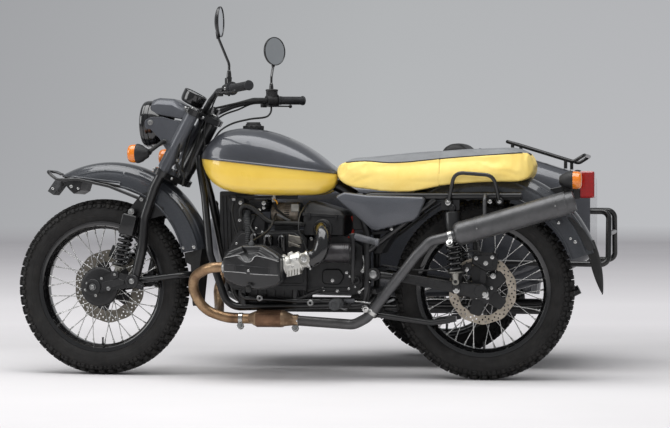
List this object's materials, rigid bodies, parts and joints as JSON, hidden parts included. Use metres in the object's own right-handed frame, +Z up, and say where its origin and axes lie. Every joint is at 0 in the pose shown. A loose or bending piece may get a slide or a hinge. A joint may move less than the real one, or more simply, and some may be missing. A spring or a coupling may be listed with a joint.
{
  "type": "sidecar motorcycle",
  "caption": "Flat-twin motorcycle with a leading-link fork and a passenger sidecar on its right, with block-tread tyres, long two-up seat, trunk with rack and centre stand.",
  "frame": {"origin": "bottom centre of the machine's box, on the floor", "axes": "+X forward, +Y left, +Z up"},
  "size_m": [2.2783, 1.6578, 1.3778],
  "materials": {
    "frame_black": "satin",
    "shock_black": "satin",
    "grey_paint": "gloss",
    "seat_cover": "satin",
    "tyre_rubber": "matte",
    "rim_black": "gloss",
    "spoke_steel": "polished",
    "disc_steel": "brushed",
    "engine_metal": "satin black",
    "bare_aluminium": "cast",
    "black_plastic": "matte",
    "flap_rubber": "matte",
    "copper_steel": "heat tinted",
    "exhaust_black": "satin",
    "lamp_glass": "clear",
    "lamp_red": "gloss",
    "lamp_amber": "gloss"
  },
  "bodies": {
    "chassis": {"frame": "frame_black", "swingarm": "frame_black", "rear_shocks": "shock_black", "final_drive": "frame_black", "engine_block": "engine_metal", "cylinders": "engine_metal", "valve_covers": "engine_metal", "airbox": "black_plastic", "throttle_bodies": "bare_aluminium", "exhaust_headers": "copper_steel", "exhaust_pipe": "exhaust_black", "muffler": "exhaust_black", "fuel_tank": "grey_paint", "fuel_cap": "black_plastic", "seat": "seat_cover", "side_covers": "grey_paint", "rear_fender": "grey_paint", "tail_lamp": "lamp_red", "rear_indicators": "lamp_amber", "grab_handles": "frame_black", "foot_controls": "frame_black", "sidecar_frame": "frame_black", "sidecar_tub": "grey_paint", "sidecar_seat": "seat_cover", "sidecar_fender": "grey_paint", "sidecar_swingarm": "frame_black", "sidecar_shock": "shock_black", "rear_bumper": "frame_black", "sidecar_lamps": "lamp_amber"},
    "steering": {"fork": "frame_black", "fork_shrouds": "grey_paint", "leading_links": "frame_black", "front_shocks": "shock_black", "front_fender": "grey_paint", "front_flap": "flap_rubber", "front_hoop": "frame_black", "headlight": "frame_black", "headlight_lens": "lamp_glass", "handlebar": "frame_black", "hand_controls": "black_plastic", "mirrors": "black_plastic", "front_indicators": "lamp_amber"},
    "front_wheel": {"front_tyre": "tyre_rubber", "front_rim": "rim_black", "front_spokes": "spoke_steel", "front_brake_disc": "disc_steel"},
    "rear_wheel": {"rear_tyre": "tyre_rubber", "rear_rim": "rim_black", "rear_spokes": "spoke_steel", "rear_brake_disc": "disc_steel"},
    "sidecar_wheel": {"sidecar_tyre": "tyre_rubber", "sidecar_rim": "rim_black", "sidecar_spokes": "spoke_steel", "sidecar_brake_disc": "disc_steel"},
    "trunk_lid": {"trunk_lid": "grey_paint", "luggage_rack": "frame_black"},
    "centre_stand": {"centre_stand": "frame_black"}
  },
  "joints": [
    {"name": "steering", "type": "hinge", "parent": "chassis", "child": "steering", "pos_m": [0.42137, 0.39107, 0.88961], "axis": [-0.4695, 0, 0.8829], "range_deg": [-27, 33]},
    {"name": "front_wheel_spin", "type": "hinge", "parent": "steering", "child": "front_wheel", "pos_m": [0.80627, 0.38684, 0.33755], "axis": [0.0462, 0.9986, 0.0246], "continuous": true},
    {"name": "rear_wheel_spin", "type": "hinge", "parent": "chassis", "child": "rear_wheel", "pos_m": [-0.66863, 0.39107, 0.33761], "axis": [0, 1, 0], "continuous": true},
    {"name": "sidecar_wheel_spin", "type": "hinge", "parent": "chassis", "child": "sidecar_wheel", "pos_m": [-0.38863, -0.74893, 0.33761], "axis": [0, 1, 0], "continuous": true},
    {"name": "trunk_lid_hinge", "type": "hinge", "parent": "chassis", "child": "trunk_lid", "pos_m": [-0.59663, -0.29893, 0.87081], "axis": [0, 1, 0], "range_deg": [0, 70]},
    {"name": "centre_stand_pivot", "type": "hinge", "parent": "chassis", "child": "centre_stand", "pos_m": [-0.26663, 0.39107, 0.24561], "axis": [0, -1, 0], "range_deg": [0, 46], "stiffness_Nm_per_rad": 8, "springref_deg": -51.57}
  ]
}
